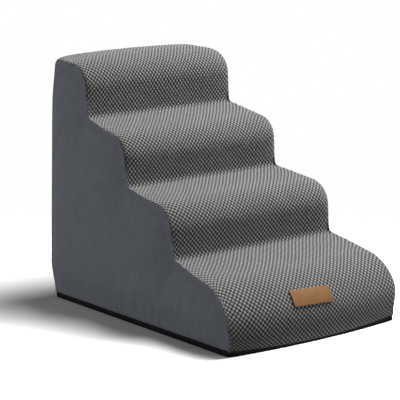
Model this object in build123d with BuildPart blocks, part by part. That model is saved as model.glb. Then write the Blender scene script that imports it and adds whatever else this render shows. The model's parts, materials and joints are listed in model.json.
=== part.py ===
"""Four-step foam pet stairs in a sewn cover that unzips at the base.

X is the width, with the zip's long run on the +X side. Y runs from the low
front (-Y) to the high back (+Y). Z is up, from the floor. The origin is the
middle of the footprint. All sizes are in millimetres.
"""

import os
from math import acos, atan2, degrees, dist, hypot, sqrt, tan

from build123d import *

# Side profile at the seams, from the front hem over the steps to the back hem
seam_half_width = 200.0
side_lean = 27.0
riser_rises = (97.0, 91.0, 89.0, 98.0)
riser_leans = (1.0, 15.0, 13.0, 12.0)
tread_runs = (181.0, 151.0, 135.0, 119.0)
tread_rises = (45.0, 27.0, 34.0, 13.0)
nose_radii = (86.0, 50.0, 42.0, 46.0)
crease_radius = 7.0
back_radius = 14.0
least_radius = 3.0
end_room_share = 0.95
middle_room_share = 0.5

# How far the stuffing pushes the cover out between the seams
crown = 16.0
crease_share = -0.1
back_share = 0.35
base_bow = 16.0
panel_bulge = 12.0
panel_dome_width = 34.0

# Sections across the width, as shares of the half width, and how squarely the crown ends
width_shares = (1.0, 0.995, 0.98, 0.955, 0.92, 0.87, 0.78, 0.65, 0.5, 0.33, 0.16)
crown_power = 10

# Sections of the side panels' dome, as shares of its bulge and of its width
bulge_shares = (0.5, 0.86, 1.0)
dome_shares = (0.22, 0.56, 1.0)
dome_lift_share = 0.3

# Cover fabrics
strip_thickness = 2.0
panel_thickness = 1.6
base_thickness = 1.2
base_overhang = 1.2
base_edge_height = 3.0
base_corner_radius = 10.0
hem_seat = 0.1
stuffing_gap = 0.5

# Grip dots under the base
dot_height = 0.6
dot_radius = 4.0
dot_pitch = 30.0
dot_margin = 18.0

# Zip along the right side and the back
tape_thickness = 0.5
tape_gap = 0.3
tape_rise = 17.0
tape_flange = 12.0
coil_thickness = 1.2
coil_height = 1.8
coil_split = 1.0
coil_middle = 6.5
coil_seat = 0.1
hem_above_slider = 0.6
zip_end_margin = 13.0
zip_relief_height = 18.5
zip_relief_depth = 5.5
stop_length = 2.2
stop_thickness = 1.6

# Slider and pull
slide_gap = 0.3
slider_length = 12.0
slider_height = 7.0
slider_plate = 1.0
slider_lip = 1.0
slider_post = 3.0
arch_length = 6.0
arch_width = 2.0
arch_post = 1.0
arch_opening = 2.0
arch_bar = 0.8
pull_length = 26.0
pull_width = 6.0
pull_thickness = 1.2
pull_rail = 1.4
pull_window = 4.6
bar_rounding_share = 0.8

# Foam slabs
slab_stub = 20.0

# Bare patch on the lowest riser
patch_width = 91.0
patch_length = 33.0
patch_thickness = 1.4
patch_gap = 0.4
patch_rise = 38.0
patch_middle = -11.0
patch_corner_radius = 2.0

# Worked out from the sizes above
seam_length = sum(riser_leans) + sum(tread_runs)
seam_height = sum(riser_rises) + sum(tread_rises)
half_length = seam_length / 2
base_top = dot_height + base_thickness
base_edge = dot_height + base_edge_height
front_hem = base_edge + hem_seat
slider_top = coil_middle + slider_height / 2
seam_lift = slider_top + hem_above_slider
base_half_width = seam_half_width + base_overhang
tape_inset = strip_thickness + tape_gap
foam_inset = strip_thickness + stuffing_gap
foam_bottom = base_top + tape_thickness + 2 * coil_seat + slide_gap / 2
left, right = -1, 1

os.makedirs("parts", exist_ok=True)


def seam_corners():
    """Corners of the seam, front to back, without the two hem ends."""
    y = -half_length
    z = seam_lift
    corners = []
    for rise, lean, run, climb in zip(riser_rises, riser_leans, tread_runs, tread_rises):
        y += lean
        z += rise
        corners.append((y, z))
        y += run
        z += climb
        corners.append((y, z))
    return corners


def corner_radii():
    """Radii of those corners: nose, crease, nose and so on, then the top back corner."""
    radii = []
    for nose_radius in nose_radii:
        radii.append(nose_radius)
        radii.append(-crease_radius)
    radii[-1] = back_radius
    return radii


def direction(start, end):
    """Unit vector from one profile point to the next."""
    length = dist(start, end)
    return (end[0] - start[0]) / length, (end[1] - start[1]) / length


def moved(points, outs):
    """The inner points of a profile, each moved out so that its two edges would move by that much."""
    corners = []
    for before, corner, after, out in zip(points, points[1:], points[2:], outs):
        y_in, z_in = direction(before, corner)
        y_out, z_out = direction(corner, after)
        reach = out / (1 + y_in * y_out + z_in * z_out)
        corners.append((corner[0] - reach * (z_in + z_out), corner[1] + reach * (y_in + y_out)))
    return corners


def crown_at_corners(swell):
    """How far each corner stands out with this swell. Creases sink a little, and the back is flatter."""
    outs = [swell if radius > 0 else swell * crease_share for radius in corner_radii()]
    outs[-1] = swell * back_share
    return outs


def cover_points(swell, bow, inset, front_z, back_z):
    """Points of one layer of the cover, from the front hem to the back hem."""
    seam = [(-half_length, seam_lift)] + seam_corners() + [(half_length, seam_lift)]
    crowned = moved(seam, crown_at_corners(swell))
    layer = [(-half_length - bow, front_z)] + crowned + [(half_length + bow, back_z)]
    inner = moved(layer, [-inset] * len(crowned))
    return [(-half_length - bow + inset, front_z)] + inner + [(half_length + bow - inset, back_z)]


def layer_radii(points, swell, inset):
    """Radii at the inner points: noses grow and creases shrink as the profile moves outwards.

    Each is limited by the two straight edges that it rounds off.
    """
    radii = []
    outs = [out - inset for out in crown_at_corners(swell)]
    for index, (radius, out) in enumerate(zip(corner_radii(), outs), start=1):
        before, corner, after = points[index - 1 : index + 2]
        y_in, z_in = direction(before, corner)
        y_out, z_out = direction(corner, after)
        half_turn = acos(y_in * y_out + z_in * z_out) / 2
        room_before = dist(before, corner) * (end_room_share if index == 1 else middle_room_share)
        room_after = dist(corner, after) * (end_room_share if index == len(points) - 2 else middle_room_share)
        size = radius + out if radius > 0 else -radius - out
        radii.append(min(max(size, least_radius), min(room_before, room_after) / tan(half_turn)))
    return radii


def width_plane(share, out=0.0):
    """Plane of a cross-section, from -1 at the left seam to 1 at the right seam."""
    slope = share * side_lean / seam_height
    return Plane(origin=(share * seam_half_width + out, 0, 0), x_dir=(0, 1, 0), z_dir=(1, 0, slope))


def width_sections():
    """Share of the half width and how far the crown stands out there, left to right."""
    shares = [-share for share in width_shares] + [0.0] + list(width_shares[::-1])
    return [(share, crown * sqrt(1 - share**crown_power)) for share in shares]


def bow_at(share):
    """How far the base's front and back edges bow out at this section."""
    return base_bow * (1 - share**2)


def front_hem_at(share):
    """Height of the front hem, which dips between the two side seams."""
    return front_hem + (seam_lift - front_hem) * share**2


def on_line(start, end, z):
    """Point at height z on the line through two profile points."""
    along = (z - start[1]) / (end[1] - start[1])
    return start[0] + along * (end[0] - start[0]), z


def outline(inset):
    """Plan of the base, drawn in by the inset."""
    x = base_half_width - inset
    y = half_length - inset
    with BuildSketch(mode=Mode.PRIVATE) as plan:
        with BuildLine():
            ThreePointArc((-x, -y), (0, -y - base_bow), (x, -y))
            Line((x, -y), (x, y))
            ThreePointArc((x, y), (0, y + base_bow), (-x, y))
            Line((-x, y), (-x, -y))
        make_face()
        fillet(plan.vertices(), max(base_corner_radius - inset, least_radius))
    return plan.sketch


def zip_band(outer_inset, inner_inset, margin):
    """Plan of a band along the right side and the back, between two insets."""
    wide = 4 * base_half_width
    deep = 4 * half_length
    with BuildSketch(mode=Mode.PRIVATE) as plan:
        add(outline(outer_inset))
        add(outline(inner_inset), mode=Mode.SUBTRACT)
        with Locations((0, -half_length + margin - deep / 2)):
            Rectangle(wide, deep, mode=Mode.SUBTRACT)
        with Locations((-base_half_width + margin - wide / 2, 0), (-wide / 2, -deep / 2)):
            Rectangle(wide, deep, mode=Mode.SUBTRACT)
    return plan.sketch


def strip_face(share, swell):
    """Cross-section of the woven strip, from the front hem to the back hem."""
    with BuildSketch(width_plane(share)) as section:
        with BuildLine():
            lines = []
            for inset in (0, strip_thickness):
                points = cover_points(swell, bow_at(share), inset, front_hem_at(share), seam_lift)
                lines.append(FilletPolyline(*points, radius=layer_radii(points, swell, inset)))
            Line(lines[0] @ 0, lines[1] @ 0)
            Line(lines[0] @ 1, lines[1] @ 1)
        make_face()
    return section.sketch.face()


# Woven strip over the steps
with BuildPart() as step_cover:
    loft(sections=[strip_face(*section) for section in width_sections()[::-1]], ruled=True)
step_cover.part.label = "step_cover"
export_step(step_cover.part, "parts/step_cover.step")


def dome_face(side, out, inset, lift):
    """Face across a side panel's dome, inset from the seam and lifted from its hem."""
    points = cover_points(0, 0, inset, seam_lift + lift, seam_lift + lift)
    with BuildSketch(width_plane(side, side * out)) as section:
        with BuildLine():
            edge = FilletPolyline(*points, radius=layer_radii(points, 0, inset))
            Line(edge @ 1, edge @ 0)
        make_face()
    return section.sketch.face()


def dome_faces(side, layer):
    """Faces of a dome from the seam outwards, drawn in by a layer of fabric."""
    faces = [dome_face(side, 0, layer, layer)]
    for bulge_share, dome_share in zip(bulge_shares, dome_shares):
        inset = dome_share * panel_dome_width
        out = bulge_share * (panel_bulge - layer)
        faces.append(dome_face(side, out, inset + layer, inset * dome_lift_share + layer))
    return faces[:: -side]


for panel_name, panel_side in (("left_side_panel", left), ("right_side_panel", right)):
    with BuildPart() as side_panel:
        loft(sections=dome_faces(panel_side, 0))
        loft(sections=dome_faces(panel_side, panel_thickness), mode=Mode.SUBTRACT)
    side_panel.part.label = panel_name
    export_step(side_panel.part, f"parts/{panel_name}.step")

# Base fabric, turned up to the hems of the strip and of the left side
side_edge = seam_lift - hem_seat
with BuildPart() as base_panel:
    with BuildSketch(Plane.XY.offset(dot_height)):
        add(outline(0))
    extrude(amount=base_thickness)
    with BuildSketch(Plane.XY.offset(base_top)):
        add(outline(0))
        add(outline(base_thickness), mode=Mode.SUBTRACT)
        add(zip_band(0, base_thickness, zip_end_margin - 2 * stop_length), mode=Mode.SUBTRACT)
    extrude(amount=side_edge - base_top)
    with BuildSketch(Plane.XZ.offset(half_length - base_corner_radius)):
        with BuildLine():
            ThreePointArc((-base_half_width, side_edge), (0, base_edge), (base_half_width, side_edge))
            Line((base_half_width, side_edge), (base_half_width, 2 * side_edge))
            Line((base_half_width, 2 * side_edge), (-base_half_width, 2 * side_edge))
            Line((-base_half_width, 2 * side_edge), (-base_half_width, side_edge))
        make_face()
    extrude(amount=2 * base_bow, mode=Mode.SUBTRACT)
base_panel.part.label = "base_panel"
export_step(base_panel.part, "parts/base_panel.step")

# Grip dots under the base
dots_across = int(2 * (base_half_width - dot_margin) // dot_pitch)
dots_along = int(2 * (half_length - dot_margin) // dot_pitch)
with BuildPart() as grip_dots:
    with GridLocations(dot_pitch, dot_pitch, dots_across, dots_along):
        Cylinder(dot_radius, dot_height, align=(Align.CENTER, Align.CENTER, Align.MIN))
grip_dots.part.label = "grip_dots"
export_step(grip_dots.part, "parts/grip_dots.step")

# Foam slabs, glued one on the other
slab_count = len(riser_rises)
foam_corners = cover_points(crown, base_bow, foam_inset, foam_bottom, foam_bottom)[1:-1]
slab_tops = [foam_corners[2 * step + 1][1] + slab_stub for step in range(slab_count - 1)]


def foam_sections():
    """Share, way out, swell, bow, inset, front hem and floor of each section."""
    sections = []
    for share, swell in width_sections():
        out = -share * stuffing_gap if abs(share) == 1 else 0
        sections.append((share, out, swell, bow_at(share), foam_inset, front_hem_at(share), foam_bottom))
    reach = panel_bulge - panel_thickness - stuffing_gap
    inset = panel_dome_width + foam_inset
    floor = seam_lift + inset * dome_lift_share
    dome = [(side, side * reach, 0, 0, inset, seam_lift, floor) for side in (left, right)]
    return dome[:1] + sections + dome[1:]


def slab_face(step, share, out, swell, bow, inset, hem, floor):
    """Cross-section of one slab."""
    slant = hypot(1, share * side_lean / seam_height)
    points = cover_points(swell, bow, inset, hem, seam_lift)
    radii = layer_radii(points, swell, inset)
    front_end, *corners, back_end = points
    crease = 2 * step + 1
    if step == 0:
        start = on_line(front_end, corners[0], floor)
        end = on_line(corners[-1], back_end, floor)
    else:
        bottom = slab_tops[step - 1] * slant
        start = on_line(corners[crease - 2], corners[crease - 1], bottom)
        end = on_line(corners[-1], back_end, bottom)
    points = [start, corners[crease - 1], corners[crease]]
    rounding = [0, radii[crease - 1], radii[crease]]
    if step < slab_count - 1:
        top = slab_tops[step] * slant
        points.append(on_line(corners[crease], corners[crease + 1], top))
        points.append(on_line(corners[-1], back_end, top))
        rounding += [0, 0]
    with BuildSketch(width_plane(share, out)) as section:
        with BuildLine():
            FilletPolyline(*points, end, radius=[*rounding, 0], close=True)
        make_face()
    return section.sketch.face()


for step in range(slab_count):
    with BuildPart() as foam_slab:
        loft(sections=[slab_face(step, *section) for section in foam_sections()[::-1]], ruled=True)
        if step == 0:
            with BuildSketch():
                add(zip_band(-panel_bulge, zip_relief_depth, base_thickness))
            extrude(amount=zip_relief_height, mode=Mode.SUBTRACT)
            with BuildSketch():
                add(outline(-panel_bulge))
                add(outline(base_thickness + 2 * stuffing_gap), mode=Mode.SUBTRACT)
            extrude(amount=zip_relief_height, mode=Mode.SUBTRACT)
    foam_slab.part.label = f"foam_slab_{step + 1}"
    export_step(foam_slab.part, f"parts/foam_slab_{step + 1}.step")

# Zip tapes: the upper one hangs from the side panel and the strip, the lower one stands on the base
tape_inner_inset = tape_inset + tape_thickness
tape_margin = 2 * strip_thickness
split_bottom = coil_middle - coil_split / 2
split_top = coil_middle + coil_split / 2
with BuildPart() as zipper_upper_tape:
    with BuildSketch(Plane.XY.offset(split_top)):
        add(zip_band(tape_inset, tape_inner_inset, tape_margin))
    extrude(amount=tape_rise - split_top)
zipper_upper_tape.part.label = "zipper_upper_tape"
export_step(zipper_upper_tape.part, "parts/zipper_upper_tape.step")

with BuildPart() as zipper_lower_tape:
    with BuildSketch(Plane.XY.offset(base_top)):
        add(zip_band(tape_inset, tape_inner_inset, tape_margin))
    extrude(amount=split_bottom - base_top)
    with BuildSketch(Plane.XY.offset(base_top)):
        add(zip_band(tape_inset, tape_inset + tape_flange, tape_margin))
    extrude(amount=tape_thickness)
zipper_lower_tape.part.label = "zipper_lower_tape"
export_step(zipper_lower_tape.part, "parts/zipper_lower_tape.step")

# Zip coils, one row on each tape, side by side along the split
coil_plan = zip_band(tape_inset - coil_seat - coil_thickness, tape_inset - coil_seat, zip_end_margin)
coil_bottoms = {"zipper_upper_coil": split_top, "zipper_lower_coil": split_bottom - coil_height}
for coil_name, coil_bottom in coil_bottoms.items():
    with BuildPart() as zipper_coil:
        with BuildSketch(Plane.XY.offset(coil_bottom)):
            add(coil_plan)
        extrude(amount=coil_height)
    zipper_coil.part.label = coil_name
    export_step(zipper_coil.part, f"parts/{coil_name}.step")

# Stops at the two ends of the coils
with BuildSketch() as stop_plan:
    stop_back = tape_inset - coil_seat
    add(zip_band(stop_back - stop_thickness, stop_back, zip_end_margin - stop_length))
    add(zip_band(-base_bow, tape_flange, zip_end_margin - coil_seat), mode=Mode.SUBTRACT)
stop_faces = stop_plan.faces().sort_by(Axis.X)
with BuildPart() as zipper_top_stops:
    for coil_bottom in coil_bottoms.values():
        with BuildSketch(Plane.XY.offset(coil_bottom)):
            add(stop_faces[-1])
        extrude(amount=coil_height)
zipper_top_stops.part.label = "zipper_top_stops"
export_step(zipper_top_stops.part, "parts/zipper_top_stops.step")

with BuildPart() as zipper_bottom_stop:
    with BuildSketch(Plane.XY.offset(split_bottom - coil_height)):
        add(stop_faces[0])
    extrude(amount=coil_split + 2 * coil_height)
zipper_bottom_stop.part.label = "zipper_bottom_stop"
export_step(zipper_bottom_stop.part, "parts/zipper_bottom_stop.step")

# Slider, closed at the front end of the right side
tape_face_x = base_half_width - tape_inset
front_plate_x = tape_face_x + coil_seat + coil_thickness + slide_gap
rear_plate_x = tape_face_x - tape_thickness - slide_gap
slider_y = -half_length + zip_end_margin + slide_gap + slider_length / 2
slider_travel = half_length - base_corner_radius - slide_gap - slider_length / 2 - slider_y
print("slider travel", round(slider_travel, 1))
arch_x = front_plate_x + slider_plate
pull_x = arch_x + arch_opening / 2
with BuildPart() as zipper_slider:
    for plate_x, way in ((front_plate_x, slider_plate), (rear_plate_x, -slider_plate)):
        with BuildSketch(Plane.YZ.offset(plate_x)):
            with Locations((slider_y, coil_middle)):
                RectangleRounded(slider_length, slider_height, slider_plate)
        extrude(amount=way)
    with BuildSketch(Plane.YZ.offset(front_plate_x)):
        with Locations((slider_y, coil_middle)):
            Rectangle(slider_length - 2 * slider_plate, slider_height)
            Rectangle(slider_length, slider_height - 2 * slider_lip, mode=Mode.SUBTRACT)
    extrude(amount=tape_face_x + slide_gap - front_plate_x)
    with BuildSketch(Plane.YZ.offset(rear_plate_x)):
        with Locations((slider_y - slider_length / 2 + slider_post, coil_middle)):
            Rectangle(slider_post, coil_split - 2 * slide_gap)
    extrude(amount=front_plate_x - rear_plate_x)
    with BuildSketch(Plane.XY.offset(coil_middle - arch_width / 2)):
        with Locations((arch_x + (arch_opening + arch_bar) / 2, slider_y)):
            Rectangle(arch_opening + arch_bar, arch_length)
        with Locations((pull_x, slider_y)):
            Rectangle(arch_opening, arch_length - 2 * arch_post, mode=Mode.SUBTRACT)
    extrude(amount=arch_width)
zipper_slider.part.label = "zipper_slider"
export_step(zipper_slider.part, "parts/zipper_slider.step")

# Pull, lying back along the zip, with its end bar under the slider's arch
bar_half = pull_thickness / 2
with BuildPart() as zipper_pull:
    with BuildSketch(Plane.YZ.offset(pull_x - bar_half)):
        with Locations((slider_y - bar_half + pull_length / 2, coil_middle)):
            RectangleRounded(pull_length, pull_width, bar_half)
        with Locations((slider_y + (bar_half + pull_window) / 2, coil_middle)):
            Rectangle(pull_window - bar_half, pull_width - 2 * pull_rail, mode=Mode.SUBTRACT)
        with Locations((slider_y + pull_length - pull_width, coil_middle)):
            Circle(pull_rail, mode=Mode.SUBTRACT)
    extrude(amount=pull_thickness)
    bar_edges = zipper_pull.edges().filter_by(Axis.Z).group_by(Axis.Y)[0]
    fillet(bar_edges, bar_half * bar_rounding_share)
zipper_pull.part.label = "zipper_pull"
export_step(zipper_pull.part, "parts/zipper_pull.step")

# Bare patch, bent around the lowest nose
middle_points = cover_points(crown, base_bow, 0, front_hem, seam_lift)
middle_radii = layer_radii(middle_points, crown, 0)
middle_line = FilletPolyline(*middle_points, radius=middle_radii, mode=Mode.PRIVATE)
nose_arc = middle_line.edges().filter_by(GeomType.CIRCLE).sort_by(Axis.X)[0]
nose_centre = nose_arc.arc_center
nose_foot = nose_arc.vertices().sort_by(Axis.Y)[0]
foot_angle = degrees(atan2(nose_foot.Y - nose_centre.Y, nose_foot.X - nose_centre.X))
patch_radius = nose_arc.radius + patch_gap
patch_start = foot_angle - degrees(patch_rise / patch_radius)
patch_turn = -degrees(patch_length / patch_radius)
with BuildPart() as label_patch:
    with BuildSketch(Plane.YZ.offset(patch_middle)):
        with BuildLine():
            patch_back = CenterArc(nose_centre, patch_radius, patch_start, patch_turn)
            patch_face = CenterArc(nose_centre, patch_radius + patch_thickness, patch_start, patch_turn)
            Line(patch_back @ 0, patch_face @ 0)
            Line(patch_back @ 1, patch_face @ 1)
        make_face()
    extrude(amount=patch_width / 2, both=True)
    patch_edges = label_patch.edges()
    fillet([edge for edge in patch_edges if edge.length < 2 * patch_thickness], patch_corner_radius)
label_patch.part.label = "label_patch"
export_step(label_patch.part, "parts/label_patch.step")
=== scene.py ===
# %% [markdown]
# # Pet stairs in a sewn fabric cover
# Four foam steps share one cover. A woven strip runs over the steps and down
# the back, a smooth panel closes each side, and a black base fabric with grip
# dots turns up around the bottom. A zip runs along the right side and the back.
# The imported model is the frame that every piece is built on, so it loads first.

# %% Load the frame
import json
from math import acos, cos, dist, exp, hypot, pi, radians, sin, sqrt, tan

import bmesh
import bpy
import numpy as np
from mathutils import Matrix, Vector
from mathutils.bvhtree import BVHTree
from mathutils.kdtree import KDTree

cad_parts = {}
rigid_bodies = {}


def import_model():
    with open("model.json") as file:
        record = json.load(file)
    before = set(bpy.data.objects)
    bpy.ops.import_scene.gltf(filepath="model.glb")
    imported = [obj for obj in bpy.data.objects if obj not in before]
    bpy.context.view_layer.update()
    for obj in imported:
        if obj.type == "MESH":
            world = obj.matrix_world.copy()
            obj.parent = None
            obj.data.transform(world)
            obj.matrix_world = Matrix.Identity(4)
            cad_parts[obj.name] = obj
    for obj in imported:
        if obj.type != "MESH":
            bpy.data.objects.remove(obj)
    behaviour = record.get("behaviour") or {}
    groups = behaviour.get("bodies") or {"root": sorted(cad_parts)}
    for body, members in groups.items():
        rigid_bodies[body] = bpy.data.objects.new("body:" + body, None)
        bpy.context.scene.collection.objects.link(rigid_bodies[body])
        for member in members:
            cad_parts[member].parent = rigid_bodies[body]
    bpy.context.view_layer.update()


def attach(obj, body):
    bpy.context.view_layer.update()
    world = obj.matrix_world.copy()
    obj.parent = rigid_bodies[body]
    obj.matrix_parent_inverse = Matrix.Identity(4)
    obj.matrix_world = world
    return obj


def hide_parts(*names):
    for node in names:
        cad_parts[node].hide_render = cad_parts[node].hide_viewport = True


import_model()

# %% [markdown]
# ## The camera first
# A product photograph of this kind is taken from far away with a long lens, so
# that upright lines stay nearly parallel. The place and the angles below come
# from matching the seams of the side panel with the picture, corner by corner.

# %% Camera
camera_place = (-1.8785, -2.6496, 0.8346)
camera_yaw = radians(34.83)
camera_pitch = radians(10.63)
camera_roll = radians(-1.93)

camera_data = bpy.data.cameras.new("camera")
camera_data.lens = 147.15
camera_data.sensor_width = 36
camera = bpy.data.objects.new("camera", camera_data)
bpy.context.scene.collection.objects.link(camera)
camera_turn = (
    Matrix.Rotation(-camera_yaw, 4, "Z")
    @ Matrix.Rotation(pi / 2 - camera_pitch, 4, "X")
    @ Matrix.Rotation(camera_roll, 4, "Z")
)
camera.matrix_world = Matrix.Translation(camera_place) @ camera_turn
bpy.context.scene.camera = camera
bpy.context.scene.view_settings.view_transform = "Standard"
print("camera is", round(Vector(camera_place).length, 2), "m from the stairs")

# %% [markdown]
# ## Light and floor
# The main lamp is a large softbox high on the right. It lights the treads, only
# grazes the risers, which brings out the relief of the weave, and throws the
# soft shadow to the left and back. A weak lamp on the left opens the side panel,
# and a small low one in front opens the risers. The backdrop is white by its
# own colour, not by more light on the stairs.

# %% Lamps
def softbox(name, place, target, size, watts):
    """A square lamp that faces a target."""
    data = bpy.data.lights.new(name, "AREA")
    data.size = size
    data.energy = watts
    lamp = bpy.data.objects.new(name, data)
    bpy.context.scene.collection.objects.link(lamp)
    lamp.location = place
    lamp.rotation_euler = (Vector(target) - Vector(place)).to_track_quat("-Z", "Y").to_euler()


softbox("main", (0.95, -0.36, 2.15), (0, 0, 0.2), 1.3, 149)
softbox("side_fill", (-2.4, 0.8, 0.5), (0, 0, 0.25), 1.0, 20)
softbox("front_fill", (0.25, -1.25, 0.35), (0, 0, 0.2), 0.6, 5)
print("lamps", len(bpy.data.lights))

# %% [markdown]
# ## Colours and nodes
# Cloth colours are picked as hex codes, as in any paint program. Blender works
# with linear light, so one function converts them. A second function adds a
# node, sets it up and links it, which keeps every material below readable. A
# third turns the width of a thread, pore or cloud into a texture's scale.

# %% Helpers for materials
def linear(code):
    """Linear colour of an sRGB hex code."""
    values = [int(code[place : place + 2], 16) / 255 for place in (1, 3, 5)]
    return [v / 12.92 if v <= 0.04045 else ((v + 0.055) / 1.055) ** 2.4 for v in values] + [1.0]


def node(tree, kind, inputs=None, **settings):
    """Add a node with its settings. Each input is a value or another node's output."""
    new = tree.nodes.new(kind)
    for name, value in settings.items():
        setattr(new, name, value)
    for name, value in (inputs or {}).items():
        if isinstance(value, bpy.types.NodeSocket):
            tree.links.new(value, new.inputs[name])
        else:
            new.inputs[name].default_value = value
    return new


def material(name):
    """A new material, its node tree and its shader."""
    made = bpy.data.materials.new(name)
    made.use_nodes = True
    return made, made.node_tree, made.node_tree.nodes["Principled BSDF"]


def per_metre(millimetres):
    """Texture scale at which one feature of a noise or cell pattern is this wide."""
    return 1000 / millimetres


print("middle grey is", round(linear("#808080")[0], 3), "in linear light")

# %% White backdrop
world_glow = 0.035
world = bpy.data.worlds.new("studio")
bpy.context.scene.world = world
world.use_nodes = True
world_tree = world.node_tree
world_light = world_tree.nodes["Background"]
path = node(world_tree, "ShaderNodeLightPath")
mirrored = node(world_tree, "ShaderNodeMath", {0: path.outputs["Is Glossy Ray"],
    1: path.outputs["Is Transmission Ray"]}, operation="MAXIMUM")
shown = node(world_tree, "ShaderNodeMath", {0: path.outputs["Is Camera Ray"],
    1: mirrored.outputs[0]}, operation="MAXIMUM")
strength = node(world_tree, "ShaderNodeMapRange",
    {"Value": shown.outputs[0], "To Min": world_glow, "To Max": 1.0})
world_light.inputs["Color"].default_value = (1, 1, 1, 1)
world_tree.links.new(strength.outputs["Result"], world_light.inputs["Strength"])
print("the world lights the stairs at", world_glow, "of what the camera sees")

# %% Floor
floor_reach = 12
floor_mesh = bpy.data.meshes.new("floor")
floor_bm = bmesh.new()
bmesh.ops.create_grid(floor_bm, x_segments=1, y_segments=1, size=floor_reach)
floor_bm.to_mesh(floor_mesh)
floor_bm.free()
floor = bpy.data.objects.new("floor", floor_mesh)
bpy.context.scene.collection.objects.link(floor)
print("floor", [round(2 * v, 1) for v in floor.bound_box[6][:2]], "m")

# %% Studio paper
# For the camera the paper is nearly white, so that its lit part turns white and its shadow stays.
# What it throws back on the stairs is the light of dark paper. Further out, where the lamps are
# weak, it fades into the backdrop.
paper_seen = 0.95
paper_for_light = 0.1
lit_middle = (-0.25, 0.15, 0.0)
lit_reach = 0.65
white_reach = 1.15

paper, paper_tree, paper_shader = material("studio_paper")
paper_path = node(paper_tree, "ShaderNodeLightPath")
paper_shade = node(paper_tree, "ShaderNodeMapRange",
    {"Value": paper_path.outputs["Is Camera Ray"], "To Min": paper_for_light, "To Max": paper_seen})
paper_tree.links.new(paper_shade.outputs["Result"], paper_shader.inputs["Base Color"])
paper_shader.inputs["Roughness"].default_value = 1.0
paper_shader.inputs["Specular IOR Level"].default_value = 0.0
paper_place = node(paper_tree, "ShaderNodeTexCoord")
paper_spot = node(paper_tree, "ShaderNodeVectorMath",
    {0: paper_place.outputs["Object"], 1: lit_middle}, operation="DISTANCE")
paper_far = node(paper_tree, "ShaderNodeMapRange", {"Value": paper_spot.outputs["Value"],
    "From Min": lit_reach, "From Max": white_reach}, interpolation_type="SMOOTHSTEP")
paper_share = node(paper_tree, "ShaderNodeMath", {0: paper_far.outputs["Result"],
    1: paper_path.outputs["Is Camera Ray"]}, operation="MULTIPLY")
paper_white = node(paper_tree, "ShaderNodeEmission", {"Color": (1, 1, 1, 1), "Strength": 1.0})
paper_mix = node(paper_tree, "ShaderNodeMixShader", {0: paper_share.outputs[0],
    1: paper_shader.outputs[0], 2: paper_white.outputs[0]})
paper_tree.links.new(paper_mix.outputs[0], paper_tree.nodes["Material Output"].inputs["Surface"])
floor_mesh.materials.append(paper)
print("paper is plain white", white_reach, "m from the middle of its lit part")

# %% [markdown]
# ## The shape under the fabric
# All fabric pieces share one side profile: the line of the seams, from the
# front hem over four steps to the back hem. Between the seams the stuffing
# pushes the fabric out, most on the noses and least in the creases, where the
# cover is held down. The numbers are the same as in the solid model, in metres.

# %% Profile of the steps
seam_half_width = 0.2
side_lean = 0.027
riser_rises = (0.097, 0.091, 0.089, 0.098)
riser_leans = (0.001, 0.015, 0.013, 0.012)
tread_runs = (0.181, 0.151, 0.135, 0.119)
tread_rises = (0.045, 0.027, 0.034, 0.013)
nose_radii = (0.086, 0.05, 0.042, 0.046)
crease_radius = 0.007
back_radius = 0.014
least_radius = 0.003
seam_lift = 0.0106
front_hem = 0.0037
crown = 0.016
crown_power = 10
crease_share = -0.1
back_share = 0.35
base_bow = 0.016
half_length = (sum(riser_leans) + sum(tread_runs)) / 2
seam_height = sum(riser_rises) + sum(tread_rises)
corner_radii = [r for nose in nose_radii for r in (nose, -crease_radius)][:-1] + [back_radius]


def seam_corners():
    """Corners of the seam, front to back, without the two hem ends."""
    y, z = -half_length, seam_lift
    corners = []
    for rise, lean, run, climb in zip(riser_rises, riser_leans, tread_runs, tread_rises):
        corners.append((y + lean, z + rise))
        y, z = y + lean + run, z + rise + climb
        corners.append((y, z))
    return corners


def direction(start, end):
    """Unit vector from one profile point to the next."""
    length = dist(start, end)
    return (end[0] - start[0]) / length, (end[1] - start[1]) / length


def moved(points, outs):
    """The inner points of a profile, each moved out so that its two edges would move by that much."""
    corners = []
    for before, corner, after, out in zip(points, points[1:], points[2:], outs):
        y_in, z_in = direction(before, corner)
        y_out, z_out = direction(corner, after)
        reach = out / (1 + y_in * y_out + z_in * z_out)
        corners.append((corner[0] - reach * (z_in + z_out), corner[1] + reach * (y_in + y_out)))
    return corners


def crown_at(share):
    """How far the strip stands out at a share of the half width."""
    return crown * sqrt(max(1 - abs(share) ** crown_power, 0))


def side_x(z):
    """Distance of the seam plane from the middle at a height."""
    return seam_half_width - side_lean * z / seam_height


def front_hem_at(share):
    """Height of the front hem, which dips between the two side seams."""
    return front_hem + (seam_lift - front_hem) * share**2


print("profile", round(2 * half_length, 3), "m long and", round(seam_height, 3), "m high")

# %% [markdown]
# The profile has sharp corners so far. Each is rounded with an arc that fits
# between its two straight runs, and the line is then sampled with the same
# number of points in every run, so that all sections of the strip match. At a
# hem an arc may take nearly all of its straight run, and half of it elsewhere.

# %% Rounded profile
end_room = 0.95
inner_room = 0.5


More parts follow.
